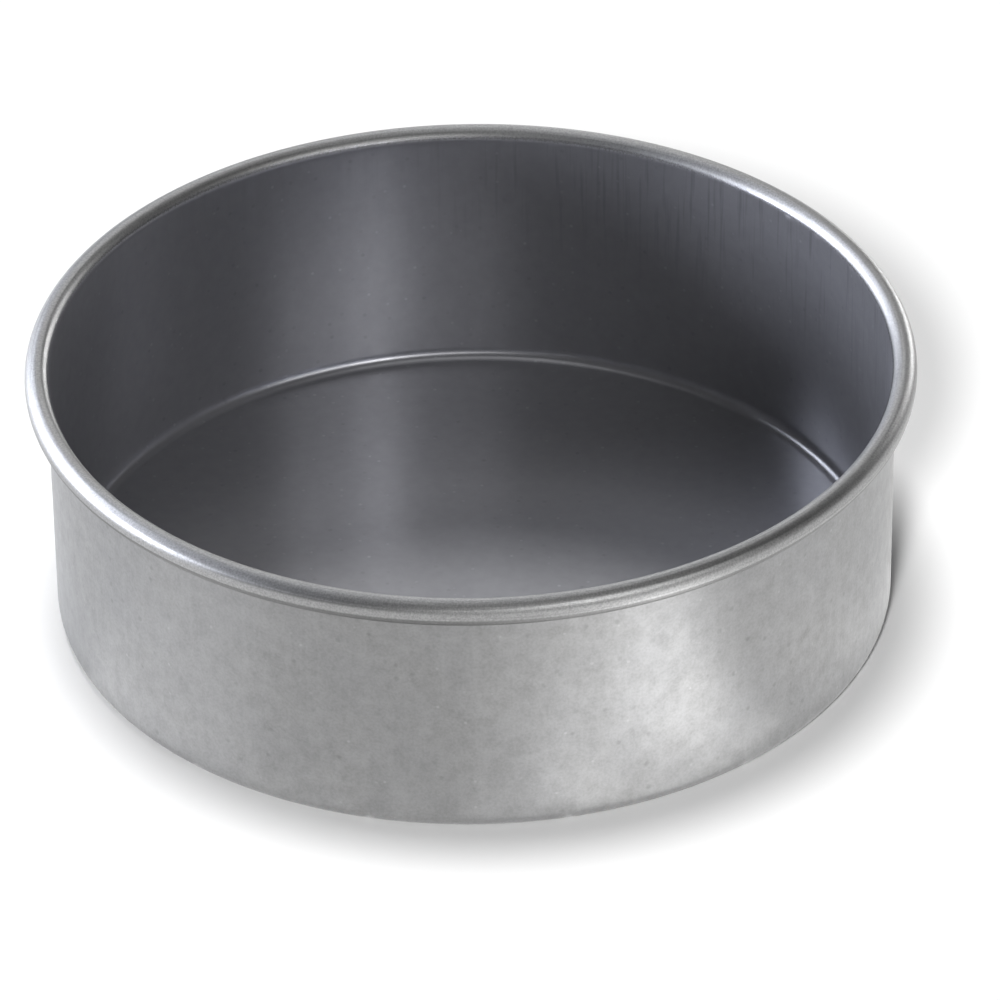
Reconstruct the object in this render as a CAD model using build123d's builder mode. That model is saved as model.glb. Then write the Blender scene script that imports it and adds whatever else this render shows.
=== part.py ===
from build123d import *
from math import acos, cos, degrees, pi, radians, sin
import os

# A round cake tin, in millimetres. It stands on the XY plane with its axis on +Z.
# One disc of coated steel sheet is drawn into a cup. Its edge is rolled outwards round a ring of
# wire, and the inside is sprayed with a non-stick lining that is then baked on.

# Drawn cup
mouth_diameter = 228.6
tin_height = 76.2
sheet_thickness = 0.8
inside_corner_radius = 3.5
wall_draft = 0.3  # degrees that the wall leans outwards

# Rolled rim
wire_diameter = 4.8
wire_play = 0.1  # clearance all round the wire
rim_flank = 0.7  # straight stretch down the outside of the roll
roll_end_gap = 0.25  # from the rolled-in edge to the wall
wire_end_gap = 1.0  # between the butted ends of the wire

# Lining
lining_thickness = 0.15
lining_edge_drop = 0.2  # from the start of the roll down to the lining's upper edge

# The cavity face of the sheet is tangent to the roll where the mouth diameter is measured.
roll_inner_radius = wire_diameter / 2 + wire_play
roll_outer_radius = roll_inner_radius + sheet_thickness
draft = radians(wall_draft)
into_metal = (cos(draft), -sin(draft))  # unit normal of the wall, from the cavity into the metal
up_the_wall = (sin(draft), cos(draft))
roll_radius_from_axis = mouth_diameter / 2 + roll_outer_radius * cos(draft)
roll_height = tin_height - roll_outer_radius
roll_turn = 180 - degrees(acos((roll_inner_radius - roll_end_gap) / roll_outer_radius))

# The corner's centre is as far from the base as from the wall.
corner_height = sheet_thickness + inside_corner_radius
wall_start_height = roll_height + roll_outer_radius * sin(draft)
wall_lean = (wall_start_height - corner_height) * sin(draft)
corner_from_axis = mouth_diameter / 2 - (inside_corner_radius + wall_lean) / cos(draft)


def corner_top(outset):
    """Where the corner meets the wall, on the face that lies this far outside the cavity face."""
    reach = inside_corner_radius + outset
    return (corner_from_axis + reach * into_metal[0], corner_height + reach * into_metal[1])


def wall_top(outset, drop=0):
    """Where the wall meets the roll on that face, or this far down the wall from there."""
    reach = roll_outer_radius - outset
    return (
        roll_radius_from_axis - reach * into_metal[0] - drop * up_the_wall[0],
        roll_height - reach * into_metal[1] - drop * up_the_wall[1],
    )


def cup_line(outset, drop=0):
    """Base, corner and wall of one face of the cup, from the axis to the top of the wall."""
    base_height = sheet_thickness - outset
    Line((0, base_height), (corner_from_axis, base_height))
    CenterArc((corner_from_axis, corner_height), inside_corner_radius + outset, -90, 90 - wall_draft)
    Line(corner_top(outset), wall_top(outset, drop))


def roll_line(outset):
    """The rolled rim on that face: over the wire, down the flank and in under the wire."""
    reach = roll_outer_radius - outset
    outermost = roll_radius_from_axis + reach
    CenterArc((roll_radius_from_axis, roll_height), reach, 180 - wall_draft, wall_draft - 180)
    Line((outermost, roll_height), (outermost, roll_height - rim_flank))
    CenterArc((roll_radius_from_axis, roll_height - rim_flank), reach, 0, -roll_turn)


def roll_end(outset):
    """The end of the roll on that face."""
    reach = roll_outer_radius - outset
    return (
        roll_radius_from_axis + reach * cos(radians(roll_turn)),
        roll_height - rim_flank - reach * sin(radians(roll_turn)),
    )


# One sheet from the middle of the base to the cut edge under the rim
with BuildPart() as drawn_shell:
    with BuildSketch(Plane.XZ):
        with BuildLine():
            cup_line(0)
            roll_line(0)
            cup_line(sheet_thickness)
            roll_line(sheet_thickness)
            Line(roll_end(0), roll_end(sheet_thickness))
            Line((0, 0), (0, sheet_thickness))
        make_face()
    revolve(axis=Axis.Z)

# A ring of wire inside the roll, with its two ends butted a small gap apart
wire_turn = 360 - degrees(wire_end_gap / roll_radius_from_axis)
with BuildPart() as rim_wire:
    with BuildSketch(Plane.XZ):
        with Locations((roll_radius_from_axis, roll_height)):
            Circle(wire_diameter / 2)
    revolve(axis=Axis.Z, revolution_arc=wire_turn)

# The lining follows the cavity face and stops just short of the roll
with BuildPart() as nonstick_lining:
    with BuildSketch(Plane.XZ):
        with BuildLine():
            cup_line(0, lining_edge_drop)
            cup_line(-lining_thickness, lining_edge_drop)
            Line(wall_top(0, lining_edge_drop), wall_top(-lining_thickness, lining_edge_drop))
            Line((0, sheet_thickness), (0, sheet_thickness + lining_thickness))
        make_face()
    revolve(axis=Axis.Z)

drawn_shell.part.label = "drawn_shell"
rim_wire.part.label = "rim_wire"
nonstick_lining.part.label = "nonstick_lining"

os.makedirs("parts", exist_ok=True)
export_step(drawn_shell.part, "parts/drawn_shell.step")
export_step(rim_wire.part, "parts/rim_wire.step")
export_step(nonstick_lining.part, "parts/nonstick_lining.step")

sheet_area = drawn_shell.part.volume / sheet_thickness
print("outer diameter", round(2 * (roll_radius_from_axis + roll_outer_radius), 2))
print("flat base diameter", round(2 * corner_from_axis, 2), "sheet area", round(sheet_area))
print("wire length", round(pi * 2 * roll_radius_from_axis * wire_turn / 360, 1))
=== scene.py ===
from math import acos, cos, pi, radians, sin

import bpy
import numpy as np
from mathutils import Matrix, Vector


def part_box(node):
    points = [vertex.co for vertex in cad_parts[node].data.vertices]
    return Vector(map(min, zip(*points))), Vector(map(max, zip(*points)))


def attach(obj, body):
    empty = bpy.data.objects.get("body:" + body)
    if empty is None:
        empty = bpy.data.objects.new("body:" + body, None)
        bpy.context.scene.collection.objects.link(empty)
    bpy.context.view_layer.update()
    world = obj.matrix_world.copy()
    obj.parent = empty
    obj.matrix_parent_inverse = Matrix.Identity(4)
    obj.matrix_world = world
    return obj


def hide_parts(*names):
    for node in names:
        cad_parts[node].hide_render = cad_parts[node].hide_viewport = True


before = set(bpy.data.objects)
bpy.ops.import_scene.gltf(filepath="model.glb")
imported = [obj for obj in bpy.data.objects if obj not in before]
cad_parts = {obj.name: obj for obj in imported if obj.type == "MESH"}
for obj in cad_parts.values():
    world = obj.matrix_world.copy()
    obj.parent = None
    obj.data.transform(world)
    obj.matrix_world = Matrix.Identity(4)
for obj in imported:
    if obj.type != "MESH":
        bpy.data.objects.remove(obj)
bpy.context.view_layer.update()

# Camera
# The tin is seen from the front, from about 34 degrees above the table and from over two metres
# away, through a long lens.
camera_target = Vector((0.0074, 0.0, 0.02792))
camera_distance = 2.284
camera_elevation = radians(34.072)
camera_roll = radians(-0.769)

camera_data = bpy.data.cameras.new("camera")
camera_data.sensor_width = 36
camera_data.lens = 300
camera = bpy.data.objects.new("camera", camera_data)
bpy.context.collection.objects.link(camera)
view_back = Vector((0, -cos(camera_elevation), sin(camera_elevation)))
view_up = Vector((0, sin(camera_elevation), cos(camera_elevation)))
view_right = Vector((1, 0, 0))
turned_right = view_right * cos(camera_roll) + view_up * sin(camera_roll)
turned_up = view_up * cos(camera_roll) - view_right * sin(camera_roll)
camera.matrix_world = Matrix.Translation(camera_target + view_back * camera_distance) @ Matrix(
    (turned_right, turned_up, view_back)
).transposed().to_4x4()
camera_data.clip_start = 0.05
camera_data.clip_end = 100
bpy.context.scene.camera = camera
bpy.context.scene.view_settings.view_transform = "Standard"

# Table
# A plain white surface that runs to the horizon. Two suns of its own light it: one from over the
# camera's left shoulder and one from high up behind the tin, so the tin's soft shadow lies to the
# right and in front.
table_size = 60.0
table_white = 0.9
bpy.ops.mesh.primitive_plane_add(size=table_size)
table = bpy.context.object
table.name = "table"

table_paint = bpy.data.materials.new("white_table")
table_paint.use_nodes = True
shader = table_paint.node_tree.nodes["Principled BSDF"]
shader.inputs["Base Color"].default_value = (table_white, table_white, table_white, 1)
shader.inputs["Roughness"].default_value = 0.9
shader.inputs["Specular IOR Level"].default_value = 0.0
table.data.materials.append(table_paint)

table_only = bpy.data.collections.new("table_only")
table_only.objects.link(table)


def lamp_direction(azimuth, elevation):
    """The way from the tin to a lamp. Azimuth 0 is the front (-Y), 90 the right (+X)."""
    a, e = radians(azimuth), radians(elevation)
    return Vector((sin(a) * cos(e), -cos(a) * cos(e), sin(e)))


def table_sun(name, azimuth, elevation, angle, share):
    """A sun that lights the table alone. Share is how white it makes the table, 1 being white."""
    lamp_data = bpy.data.lights.new(name, "SUN")
    lamp_data.angle = radians(angle)
    lamp_data.energy = share * pi / (table_white * sin(radians(elevation)))
    lamp = bpy.data.objects.new(name, lamp_data)
    bpy.context.collection.objects.link(lamp)
    lamp.rotation_euler = lamp_direction(azimuth, elevation).to_track_quat("Z", "Y").to_euler()
    lamp.light_linking.receiver_collection = table_only


table_sun("shoulder_sun", -10.5, 34, 8, 0.38)
table_sun("high_sun", -143, 84, 18, 0.61)

# Studio
# The room is white down near the horizon and grey above. Softboxes light the tin: a key at the
# front right, broad cool panels at the left and behind it, and a weak one overhead. Bright cards
# on the table fill the lower wall, the brightest of them at the front right.
room_grey = 0.06
world = bpy.data.worlds.new("studio")
bpy.context.scene.world = world
world.use_nodes = True
nodes, links = world.node_tree.nodes, world.node_tree.links
sky_place = nodes.new("ShaderNodeTexCoord")
sky_split = nodes.new("ShaderNodeSeparateXYZ")
sky_height = nodes.new("ShaderNodeMapRange")
sky_height.interpolation_type = "SMOOTHSTEP"
sky_height.inputs["From Min"].default_value = sin(radians(2))
sky_height.inputs["From Max"].default_value = sin(radians(9))
sky_colour = nodes.new("ShaderNodeMix")
sky_colour.data_type = "RGBA"
sky_colour.inputs[6].default_value = (1, 1, 1, 1)
sky_colour.inputs[7].default_value = (room_grey, room_grey, room_grey, 1)
links.new(sky_place.outputs["Generated"], sky_split.inputs["Vector"])
links.new(sky_split.outputs["Z"], sky_height.inputs["Value"])
links.new(sky_height.outputs["Result"], sky_colour.inputs[0])
links.new(sky_colour.outputs[2], nodes["Background"].inputs["Color"])

tin_only = bpy.data.collections.new("tin_only")
softbox_distance = 1.6


def panel(name, width, height, brightness, place, colour=(1, 1, 1)):
    """A rectangle of light that shines along its own -Z. It lights the tin alone and the camera
    doesn't see it. Brightness 1 is the table's white."""
    lamp_data = bpy.data.lights.new(name, "AREA")
    lamp_data.shape = "RECTANGLE"
    lamp_data.size = width
    lamp_data.size_y = height
    lamp_data.energy = brightness * pi * width * height
    lamp_data.color = colour
    lamp = bpy.data.objects.new(name, lamp_data)
    bpy.context.collection.objects.link(lamp)
    lamp.matrix_world = place
    lamp.visible_camera = False
    lamp.light_linking.receiver_collection = tin_only


def softbox(name, azimuth, elevation, width, height, brightness, colour=(1, 1, 1)):
    """A panel that faces the tin from the distance of the softboxes."""
    way = lamp_direction(azimuth, elevation)
    facing_tin = way.to_track_quat("Z", "Y").to_matrix().to_4x4()
    place = Matrix.Translation(way * softbox_distance) @ facing_tin
    panel(name, width, height, brightness, place, colour)


def card(name, azimuth, from_axis, width, depth, brightness, facing, height):
    """A panel that lies just above the table beside the tin and faces up. Its depth runs along the
    azimuth in facing. Cards that cross lie at different heights."""
    out = lamp_direction(facing, 0)
    along = Vector((-out.y, out.x, 0))
    turn = Matrix((along, out, Vector((0, 0, -1)))).transposed().to_4x4()
    centre = lamp_direction(azimuth, 0) * from_axis + Vector((0, 0, height))
    panel(name, width, depth, brightness, Matrix.Translation(centre) @ turn)


def foot_card(name, azimuth, brightness, height):
    """A small card at the foot of the tin. Its near edge lies inside the metal of the base."""
    card(
        name, azimuth, from_axis=0.116, width=0.055, depth=0.024,
        brightness=brightness, facing=azimuth, height=height,
    )


cool_white = (0.93, 0.97, 1.08)
softbox("key", 27, 33, 0.26, 0.42, 10.5)
softbox("key_side", 44, 33, 0.62, 0.4, 3.9)
softbox("front_fill", 6, 33, 0.74, 0.4, 2.4)
softbox("overhead", 0, 88, 0.9, 0.9, 0.8)
softbox("left_panel", -90, 12, 0.5, 0.34, 43, cool_white)
softbox("left_back_panel", -120, 12, 0.5, 0.34, 25, cool_white)
softbox("high_left_back_panel", -131, 33, 1.0, 0.4, 10, cool_white)
softbox("right_back_panel", 145, 12, 0.5, 0.34, 11)
softbox("back_panel", 180, 12, 0.5, 0.34, 2.4)
softbox("backdrop", 180, 33, 0.7, 0.4, 1.7)
softbox("high_backdrop", 180, 56, 0.8, 0.5, 2)
card("left_front_card", -55, 0.184, 0.084, 0.134, 0.28, -55, 0.001)
card("front_card", 10, 0.184, 0.048, 0.134, 0.34, 10, 0.001)
card("right_front_card", 29, 0.184, 0.09, 0.134, 0.85, 29, 0.0013)
card("bright_card", 37.5, 0.21, 0.05, 0.15, 1.6, 50, 0.0016)
card("right_side_card", 64, 0.15, 0.07, 0.06, 0.2, 64, 0.0013)
card("right_card", 88, 0.184, 0.19, 0.134, 0.29, 88, 0.001)
foot_card("left_foot_card", -55, 0.3, 0.0006)
foot_card("left_front_foot_card", -28, 0.42, 0.0004)
foot_card("front_foot_card", -1, 0.45, 0.0006)
foot_card("right_front_foot_card", 26, 0.5, 0.0004)
foot_card("right_foot_card", 53, 0.6, 0.0006)
foot_card("right_far_foot_card", 80, 0.7, 0.0004)
foot_card("right_back_foot_card", 107, 0.3, 0.0006)

# Drawn tin
# One disc of aluminised steel sheet is drawn into a cup with a slight lean to its wall. Its edge
# is rolled outwards round a ring of wire, so the bead shows the same face as the inside.
tin_box_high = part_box("drawn_shell")[1]
tin_height = tin_box_high[2]
rim_radius = tin_box_high[0]
sheet_thickness = 0.0008
inside_corner_radius = 0.0035
wall_draft = radians(0.3)
wire_radius = 0.0024
wire_play = 0.0001
rim_flank = 0.0007
roll_end_gap = 0.00025
corner_steps = 12
tin_turn_steps = 720
last_stretch = 0.02  # share of the wall, below its top, that gets a ring of points of its own

roll_inner_radius = wire_radius + wire_play
roll_outer_radius = roll_inner_radius + sheet_thickness
roll_from_axis = rim_radius - roll_outer_radius
roll_height = tin_height - roll_outer_radius
roll_turn = pi - acos((roll_inner_radius - roll_end_gap) / roll_outer_radius)
mouth_radius = roll_from_axis - roll_outer_radius * cos(wall_draft)
corner_height = sheet_thickness + inside_corner_radius
wall_start_height = roll_height + roll_outer_radius * sin(wall_draft)
wall_lean = (wall_start_height - corner_height) * sin(wall_draft)
corner_from_axis = mouth_radius - (inside_corner_radius + wall_lean) / cos(wall_draft)


def arc(centre, radius, start, end, steps):
    """Points of a circle in the (r, z) plane: centre + radius * (cos, sin) of the angle, which runs
    from start to end."""
    angle = np.linspace(start, end, steps)
    return np.column_stack((centre[0] + radius * np.cos(angle), centre[1] + radius * np.sin(angle)))


def straight(start, end, steps):
    """Evenly spaced points from start to end, both left out."""
    share = np.linspace(0, 1, steps + 2)[1:-1, None]
    return np.array(start) * (1 - share) + np.array(end) * share


def cup_line(outset, wall_steps):
    """Base, corner and wall of one face of the cup, from near the axis to the top of the wall. The
    base is level, the corner is a quarter circle less the draft, and the wall leans outwards by it.
    Outset is how far the face lies outside the cavity face."""
    base_height = sheet_thickness - outset
    reach = roll_outer_radius - outset
    top = (roll_from_axis - reach * cos(wall_draft), roll_height + reach * sin(wall_draft))
    corner_centre = (corner_from_axis, corner_height)
    corner = arc(corner_centre, inside_corner_radius + outset, -pi / 2, -wall_draft, corner_steps)
    near_top = corner[-1] * last_stretch + np.array(top) * (1 - last_stretch)
    return np.vstack((
        straight((0, base_height), corner[0], 2),
        corner,
        straight(corner[-1], near_top, wall_steps),
        [near_top, top],
    ))


def roll_line(outset, steps):
    """The rolled rim on that face: over the wire, down the flank and in under the wire."""
    reach = roll_outer_radius - outset
    over = arc((roll_from_axis, roll_height), reach, pi - wall_draft, 0, steps)
    under = arc((roll_from_axis, roll_height - rim_flank), reach, 0, -roll_turn, steps * 2 // 3)
    return np.vstack((over[1:], under))


# Drawing leaves shallow wrinkles in the wall under the rim, deepest towards the back right.
wrinkle_draw = np.random.default_rng(11)
wrinkle_count = 170
wrinkle_deepest = 0.00005
wrinkle_at = wrinkle_draw.uniform(0, 2 * pi, wrinkle_count)
wrinkle_width = wrinkle_draw.uniform(0.0035, 0.013, wrinkle_count)
wrinkle_depth = wrinkle_deepest * wrinkle_draw.uniform(0.1, 1, wrinkle_count) ** 2
wrinkle_depth *= 1 + 1.2 * np.exp(-((wrinkle_at - radians(125)) / radians(40)) ** 2)
wrinkle_length = wrinkle_draw.uniform(0.012, 0.045, wrinkle_count)


def wrinkles(angle, height):
    """How far the drawn sheet is pulled in towards the axis at this angle and height. Each wrinkle is
    depth * exp(-(turn / width)^2) * fade^2, where fade falls from 1 at the rim to 0 at the wrinkle's
    length below it."""
    turn = (angle[:, None] - wrinkle_at + pi) % (2 * pi) - pi
    across = wrinkle_depth * np.exp(-(turn / wrinkle_width) ** 2)
    fade = np.clip(1 - (roll_height - height[:, None]) / wrinkle_length, 0, 1) ** 2
    return across @ fade.T


def turned_surface(name, profile, steps, wrinkled, shading):
    """A closed shell: the profile (r, z) turned once round the axis, x = r sin(a) and y = -r cos(a).
    The profile starts and ends on the axis, and those two ends become single points. Wrinkled is how
    much of the wrinkles each profile point takes; shading names values of the profile points that the
    material reads as attributes."""
    angle = np.linspace(0, 2 * pi, steps, endpoint=False)
    ring = profile[1:-1]
    count = len(ring)
    height = ring[:, 1][None, :]
    radius = ring[:, 0][None, :] - wrinkles(angle, ring[:, 1]) * wrinkled[1:-1]
    x = radius * np.sin(angle)[:, None]
    y = -radius * np.cos(angle)[:, None]
    z = np.broadcast_to(height, x.shape)
    points = np.column_stack((x.ravel(), y.ravel(), z.ravel()))
    first = (0, 0, profile[0][1])
    last = (0, 0, profile[-1][1])
    points = np.vstack((points, first, last))
    start = np.arange(steps) * count
    after = np.roll(start, -1)
    along = np.arange(count - 1)
    a = (start[:, None] + along).ravel()
    b = (after[:, None] + along).ravel()
    quads = np.column_stack((a, b, b + 1, a + 1))
    pole_first = np.full(steps, steps * count)
    pole_last = pole_first + 1
    fan_first = np.column_stack((pole_first, after, start))
    fan_last = np.column_stack((pole_last, start + count - 1, after + count - 1))
    mesh = bpy.data.meshes.new(name)
    mesh.from_pydata(points.tolist(), [], quads.tolist() + fan_first.tolist() + fan_last.tolist())
    mesh.polygons.foreach_set("use_smooth", [True] * len(mesh.polygons))
    for title, values in shading.items():
        attribute = mesh.attributes.new(title, "FLOAT", "POINT")
        whole = np.concatenate((np.tile(values[1:-1], steps), values[[0, -1]]))
        attribute.data.foreach_set("value", whole.astype(np.float32))
    mesh.update()
    piece = bpy.data.objects.new(name, mesh)
    bpy.context.collection.objects.link(piece)
    return piece


cavity_face = cup_line(0.0, wall_steps=10)
roll_face = roll_line(0.0, steps=30)
hidden_roll_face = roll_line(sheet_thickness, steps=12)
outer_face = cup_line(sheet_thickness, wall_steps=20)
tin_profile = np.vstack((
    [(0, sheet_thickness)],
    cavity_face,
    roll_face,
    hidden_roll_face[::-1],
    outer_face[::-1],
    [(0, 0)],
))
roll_start = 1 + len(cavity_face)
roll_end = roll_start + len(roll_face)
on_wall = np.ones(len(tin_profile))
on_wall[roll_start:roll_end + len(hidden_roll_face)] = 0
on_roll = np.zeros(len(tin_profile))
roll_blend_steps = 3
on_roll[roll_start:roll_end] = np.clip(np.arange(len(roll_face)) / roll_blend_steps, 0, 1)
round_roll = np.zeros(len(tin_profile))
roll_stretch = np.linalg.norm(np.diff(tin_profile[roll_start - 1:roll_end], axis=0), axis=1)
round_roll[roll_start:roll_end] = np.cumsum(roll_stretch)
roll_shading = {"on_roll": on_roll, "round_roll": round_roll}
tin = turned_surface("tin", tin_profile, tin_turn_steps, on_wall, roll_shading)
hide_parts("drawn_shell")
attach(tin, "root")
tin_only.objects.link(tin)


def effect_group(name, inputs, outputs):
    """An empty shader group with these named inputs and outputs, and its own input and output nodes."""
    group = bpy.data.node_groups.new(name, "ShaderNodeTree")
    for title, kind in inputs:
        group.interface.new_socket(name=title, in_out="INPUT", socket_type=kind)
    for title in outputs:
        group.interface.new_socket(name=title, in_out="OUTPUT", socket_type="NodeSocketFloat")
    return group, group.nodes.new("NodeGroupInput"), group.nodes.new("NodeGroupOutput")


def ramp(tree, value, low, high, to_low, to_high):
    """A Map Range node: value from low to high becomes to_low to to_high, held at both ends."""
    node = tree.nodes.new("ShaderNodeMapRange")
    node.inputs["From Min"].default_value = low
    node.inputs["From Max"].default_value = high
    node.inputs["To Min"].default_value = to_low
    node.inputs["To Max"].default_value = to_high
    tree.links.new(value, node.inputs["Value"])
    return node.outputs["Result"]


def blend(tree, factor, first, second):
    """A Mix node for two colours: each is a plain colour or another node's output."""
    node = tree.nodes.new("ShaderNodeMix")
    node.data_type = "RGBA"
    for socket, colour in ((node.inputs[6], first), (node.inputs[7], second)):
        if isinstance(colour, tuple):
            socket.default_value = (*colour, 1)
        else:
            tree.links.new(colour, socket)
    tree.links.new(factor, node.inputs[0])
    return node.outputs[2]


def arithmetic(tree, operation, first, second):
    """A Math node: each operand is a number or another node's output."""
    node = tree.nodes.new("ShaderNodeMath")
    node.operation = operation
    for socket, value in zip(node.inputs, (first, second)):
        if isinstance(value, (int, float)):
            socket.default_value = value
        else:
            tree.links.new(value, socket)
    return node.outputs[0]


# Mottle: cloudy patches, from 0 to 1.
mottle, group_in, group_out = effect_group(
    "mottle", (("Vector", "NodeSocketVector"), ("Scale", "NodeSocketFloat")), ("Value",)
)
cloud = mottle.nodes.new("ShaderNodeTexNoise")
cloud.inputs["Detail"].default_value = 3
cloud.inputs["Roughness"].default_value = 0.6
mottle.links.new(group_in.outputs["Vector"], cloud.inputs["Vector"])
mottle.links.new(group_in.outputs["Scale"], cloud.inputs["Scale"])
mottle.links.new(ramp(mottle, cloud.outputs[0], 0.32, 0.68, 0, 1), group_out.inputs["Value"])

# Specks: small round spots in some of the cells of a loose pattern.
specks, group_in, group_out = effect_group(
    "specks",
    (("Vector", "NodeSocketVector"), ("Scale", "NodeSocketFloat"), ("Bare Share", "NodeSocketFloat")),
    ("Mask",),
)
cells = specks.nodes.new("ShaderNodeTexVoronoi")
specks.links.new(group_in.outputs["Vector"], cells.inputs["Vector"])
specks.links.new(group_in.outputs["Scale"], cells.inputs["Scale"])
cell_draw = specks.nodes.new("ShaderNodeSeparateColor")
specks.links.new(cells.outputs["Color"], cell_draw.inputs["Color"])
spotted = arithmetic(specks, "GREATER_THAN", cell_draw.outputs[0], group_in.outputs["Bare Share"])
spot = ramp(specks, cells.outputs["Distance"], 0.1, 0.24, 1, 0)
strength = ramp(specks, cell_draw.outputs[1], 0, 1, 0.4, 1)
spot = arithmetic(specks, "MULTIPLY", spot, strength)
specks.links.new(arithmetic(specks, "MULTIPLY", spotted, spot), group_out.inputs["Mask"])

# Draw marks: fine lines that run up and down the wall, from 0 to 1.
draw_marks, group_in, group_out = effect_group(
    "draw_marks", (("Vector", "NodeSocketVector"), ("Scale", "NodeSocketFloat")), ("Value",)
)
squeeze = draw_marks.nodes.new("ShaderNodeVectorMath")
squeeze.operation = "MULTIPLY"
line_squeeze = 0.05
squeeze.inputs[1].default_value = (1, 1, line_squeeze)
lines = draw_marks.nodes.new("ShaderNodeTexNoise")
lines.inputs["Detail"].default_value = 2
lines.inputs["Roughness"].default_value = 0.5
draw_marks.links.new(group_in.outputs["Vector"], squeeze.inputs[0])
draw_marks.links.new(squeeze.outputs[0], lines.inputs["Vector"])
draw_marks.links.new(group_in.outputs["Scale"], lines.inputs["Scale"])
draw_marks.links.new(ramp(draw_marks, lines.outputs[0], 0.3, 0.7, 0, 1), group_out.inputs["Value"])


def place(tree, group, vector, **values):
    """One of those groups in a material, with its own values."""
    node = tree.nodes.new("ShaderNodeGroup")
    node.node_tree = group
    tree.links.new(vector, node.inputs["Vector"])
    for title, value in values.items():
        node.inputs[title.replace("_", " ")].default_value = value
    return node.outputs[0]


sheet_dark = (0.249, 0.249, 0.247)
sheet_light = (0.303, 0.303, 0.303)
sheet_cast = (0.27, 0.272, 0.278)
grain_light = (0.34, 0.34, 0.34)
grain_dark = (0.2, 0.2, 0.2)
mark_light = (0.36, 0.36, 0.36)
sheet_speck_dark = (0.12, 0.12, 0.12)
sheet_speck_light = (0.6, 0.6, 0.6)
roll_dark = (0.27, 0.27, 0.27)
roll_light = (0.4, 0.4, 0.4)
roll_line_dark = (0.17, 0.17, 0.17)
# Painted shade: the dark colour given to the underside of the roll.
roll_underside_painted_shade = (0.07, 0.07, 0.068)
roll_line_stretch = 0.012
roll_line_relief = 3.0
# Painted shade under the roll: its colour darkens from this far round it, measured from the top of the
# wall, where the roll starts to face down.
underside_start = 0.0113
underside_full = 0.0118

steel = bpy.data.materials.new("aluminised_steel")
steel.use_nodes = True
tree = steel.node_tree
shader = tree.nodes["Principled BSDF"]
where = tree.nodes.new("ShaderNodeTexCoord").outputs["Object"]
attributes = {}
for title in ("on_roll", "round_roll"):
    node = tree.nodes.new("ShaderNodeAttribute")
    node.attribute_name = title
    attributes[title] = node.outputs["Fac"]
patches = place(tree, mottle, where, Scale=230)
grain = place(tree, mottle, where, Scale=1300)
cast = place(tree, mottle, where, Scale=35)
marks = place(tree, draw_marks, where, Scale=420)
dark_specks = place(tree, specks, where, Scale=260, Bare_Share=0.65)
light_specks = place(tree, specks, where, Scale=420, Bare_Share=0.93)
sheet_colour = blend(tree, patches, sheet_dark, sheet_light)
sheet_colour = blend(tree, ramp(tree, cast, 0, 1, 0, 0.5), sheet_colour, sheet_cast)
sheet_colour = blend(tree, ramp(tree, grain, 0.4, 1, 0, 0.3), sheet_colour, grain_light)
sheet_colour = blend(tree, ramp(tree, grain, 0, 0.5, 0.25, 0), sheet_colour, grain_dark)
sheet_colour = blend(tree, ramp(tree, marks, 0.5, 1, 0, 0.14), sheet_colour, mark_light)
sheet_colour = blend(tree, ramp(tree, dark_specks, 0, 1, 0, 0.3), sheet_colour, sheet_speck_dark)
sheet_colour = blend(tree, ramp(tree, light_specks, 0, 1, 0, 0.2), sheet_colour, sheet_speck_light)
# The roll is scored by fine lines that run round the tin with it.
split = tree.nodes.new("ShaderNodeSeparateXYZ")
tree.links.new(where, split.inputs["Vector"])
line_place = tree.nodes.new("ShaderNodeCombineXYZ")
tree.links.new(attributes["round_roll"], line_place.inputs["X"])
for source, target in (("X", "Y"), ("Y", "Z")):
    stretched = arithmetic(tree, "MULTIPLY", split.outputs[source], roll_line_stretch)
    tree.links.new(stretched, line_place.inputs[target])
roll_lines = place(tree, mottle, line_place.outputs["Vector"], Scale=900)
roll_grain = place(tree, mottle, where, Scale=1900)
roll_colour = blend(tree, roll_grain, roll_dark, roll_light)
roll_colour = blend(tree, ramp(tree, roll_lines, 0, 0.5, 0.5, 0), roll_colour, roll_line_dark)
# Painted shade: the roll's colour darkens over its underside, which faces down towards the wall.
painted_underside_shade = ramp(tree, attributes["round_roll"], underside_start, underside_full, 0, 0.6)
roll_colour = blend(tree, painted_underside_shade, roll_colour, roll_underside_painted_shade)
sheet_colour = blend(tree, attributes["on_roll"], sheet_colour, roll_colour)
tree.links.new(sheet_colour, shader.inputs["Base Color"])
tree.links.new(ramp(tree, patches, 0, 1, 0.47, 0.43), shader.inputs["Roughness"])
relief = tree.nodes.new("ShaderNodeBump")
relief.inputs["Strength"].default_value = 0.5
relief.inputs["Distance"].default_value = 0.00002
line_relief = arithmetic(tree, "MULTIPLY", roll_lines, attributes["on_roll"])
line_relief = arithmetic(tree, "MULTIPLY", line_relief, roll_line_relief)
sheet_relief = arithmetic(tree, "ADD", marks, grain)
tree.links.new(arithmetic(tree, "ADD", sheet_relief, line_relief), relief.inputs["Height"])
tree.links.new(relief.outputs["Normal"], shader.inputs["Normal"])
shader.inputs["Metallic"].default_value = 1.0
tin.data.materials.append(steel)

# Rim wire
# A ring of round drawn steel wire with butted ends, closed inside the rolled rim, which it
# stiffens. Nothing holds it but the sheet that is rolled round it.
wire_dark = (0.42, 0.42, 0.42)
wire_light = (0.55, 0.55, 0.55)
wire_speck_dark = (0.15, 0.13, 0.12)

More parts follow.
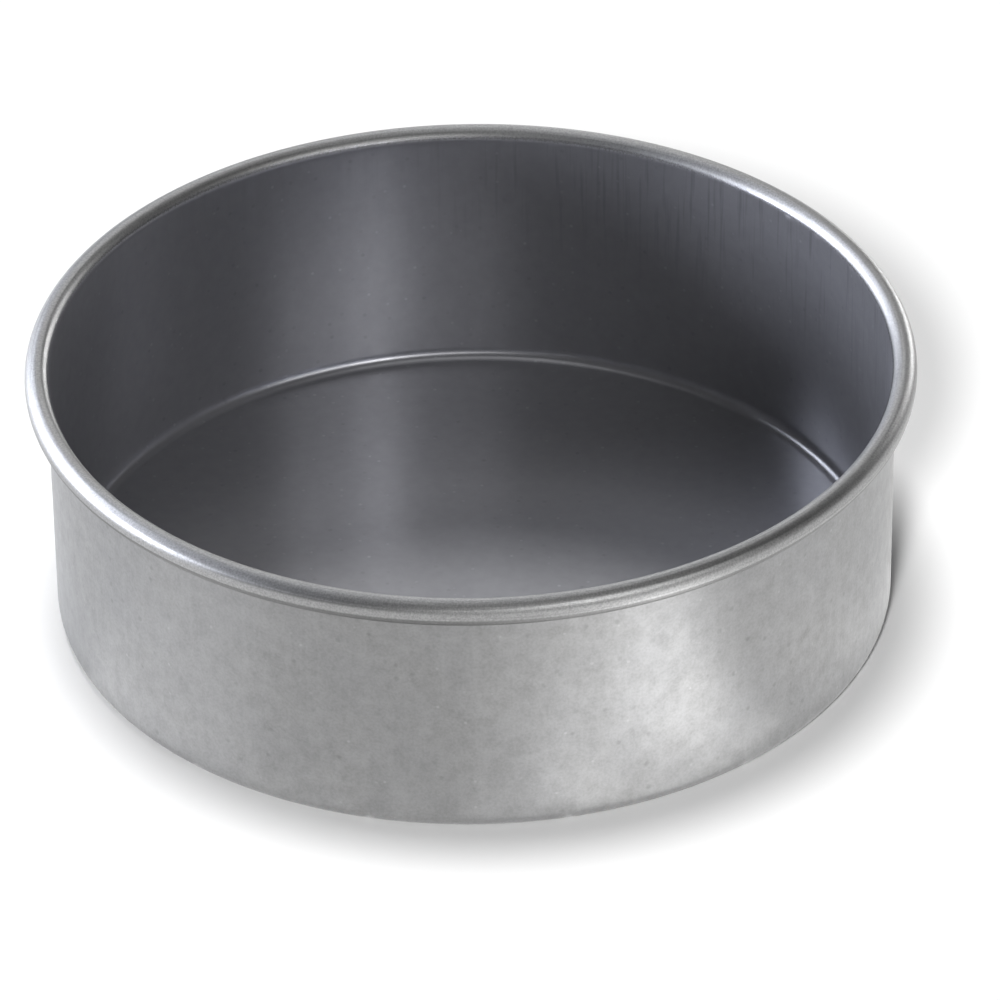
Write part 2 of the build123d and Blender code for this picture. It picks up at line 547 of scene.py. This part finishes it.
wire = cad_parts["rim_wire"]
wire_steel = bpy.data.materials.new("steel_wire")
wire_steel.use_nodes = True
tree = wire_steel.node_tree
shader = tree.nodes["Principled BSDF"]
where = tree.nodes.new("ShaderNodeTexCoord").outputs["Object"]
wire_colour = blend(tree, place(tree, mottle, where, Scale=900), wire_dark, wire_light)
wire_specks = place(tree, specks, where, Scale=700, Bare_Share=0.6)
wire_colour = blend(tree, ramp(tree, wire_specks, 0, 1, 0, 0.4), wire_colour, wire_speck_dark)
tree.links.new(wire_colour, shader.inputs["Base Color"])
shader.inputs["Metallic"].default_value = 1.0
shader.inputs["Roughness"].default_value = 0.35
for slot in wire.material_slots:
    slot.material = wire_steel
tin_only.objects.link(wire)

# Non-stick lining
# A dark grey non-stick coat, sprayed into the tin and baked on. It covers the base, the corner and
# the wall. Over the inner side of the roll the spray thins out and ends.
lining_thickness = 0.00015
lining_turn_steps = 1440
spray_turn = radians(55)
spray_steps = 13
sprayed_film = 0.00003
behind = 0.00002  # how deep the lining's hidden face lies in the sheet
coat_dark = (0.259, 0.26, 0.28)
coat_light = (0.28, 0.281, 0.301)
streak_dark = (0.12, 0.12, 0.13)
coat_speck_dark = (0.14, 0.14, 0.15)
coat_speck_light = (0.6, 0.6, 0.65)

spray_angle = np.linspace(pi - wall_draft, pi - spray_turn, spray_steps + 1)[1:]
spray_film = np.linspace(lining_thickness, sprayed_film, spray_steps + 1)[1:]
round_it = np.column_stack((np.cos(spray_angle), np.sin(spray_angle)))
roll_centre = np.array((roll_from_axis, roll_height))
sprayed_edge = roll_centre + (roll_outer_radius + spray_film)[:, None] * round_it
hidden_edge = roll_centre + (roll_outer_radius - behind) * round_it[-1:]
lining_face = cup_line(-lining_thickness, wall_steps=18)
hidden_lining_face = cup_line(behind, wall_steps=4)
lining_profile = np.vstack((
    [(0, sheet_thickness + lining_thickness)],
    lining_face,
    sprayed_edge,
    hidden_edge,
    hidden_lining_face[::-1],
    [(0, sheet_thickness - behind)],
))
spray_share = np.ones(len(lining_profile))
spray_start = 1 + len(lining_face)
spray_end = spray_start + spray_steps
spray_share[spray_start:spray_end] = np.linspace(1, 0, spray_steps + 1)[1:]
spray_share[spray_end] = 0
lining_wrinkled = np.ones(len(lining_profile))
lining_wrinkled[spray_start:spray_end + 1] = 0
lining_shading = {"sprayed": spray_share}
lining = turned_surface("lining", lining_profile, lining_turn_steps, lining_wrinkled, lining_shading)
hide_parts("nonstick_lining")
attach(lining, "root")
tin_only.objects.link(lining)

coat = bpy.data.materials.new("nonstick")
coat.use_nodes = True
tree = coat.node_tree
shader = tree.nodes["Principled BSDF"]
where = tree.nodes.new("ShaderNodeTexCoord").outputs["Object"]
patches = place(tree, mottle, where, Scale=260)
side = tree.nodes.new("ShaderNodeSeparateXYZ")
tree.links.new(where, side.inputs["Vector"])
# Dark streaks run down the upper wall, strongest at the right.
streaks = place(tree, draw_marks, where, Scale=700)
high_up = ramp(tree, side.outputs["Z"], 0.03, 0.062, 0, 1)
streaks = arithmetic(tree, "MULTIPLY", ramp(tree, streaks, 0.62, 1, 0, 0.4), high_up)
streaks = arithmetic(tree, "MULTIPLY", streaks, ramp(tree, side.outputs["X"], -0.03, 0.06, 0.1, 1))
dark_specks = place(tree, specks, where, Scale=300, Bare_Share=0.75)
light_specks = place(tree, specks, where, Scale=380, Bare_Share=0.85)
coat_colour = blend(tree, patches, coat_dark, coat_light)
coat_colour = blend(tree, streaks, coat_colour, streak_dark)
coat_colour = blend(tree, ramp(tree, dark_specks, 0, 1, 0, 0.3), coat_colour, coat_speck_dark)
coat_colour = blend(tree, ramp(tree, light_specks, 0, 1, 0, 0.22), coat_colour, coat_speck_light)
tree.links.new(coat_colour, shader.inputs["Base Color"])
tree.links.new(ramp(tree, patches, 0, 1, 0.31, 0.28), shader.inputs["Roughness"])
# The spray thins out over the inner side of the roll, further round at the left.
sprayed = tree.nodes.new("ShaderNodeAttribute")
sprayed.attribute_name = "sprayed"
more_at_left = ramp(tree, side.outputs["X"], -0.1, 0.1, 0.12, -0.14)
cover = arithmetic(tree, "ADD", sprayed.outputs["Fac"], more_at_left)
droplets = place(tree, mottle, where, Scale=1900)
cover = arithmetic(tree, "ADD", cover, ramp(tree, droplets, 0, 1, -0.14, 0.14))
tree.links.new(ramp(tree, cover, 0.42, 0.72, 0, 1), shader.inputs["Alpha"])
shader.inputs["Metallic"].default_value = 0.6
shader.inputs["Coat Weight"].default_value = 0.4
shader.inputs["Coat Roughness"].default_value = 0.15
lining.data.materials.append(coat)
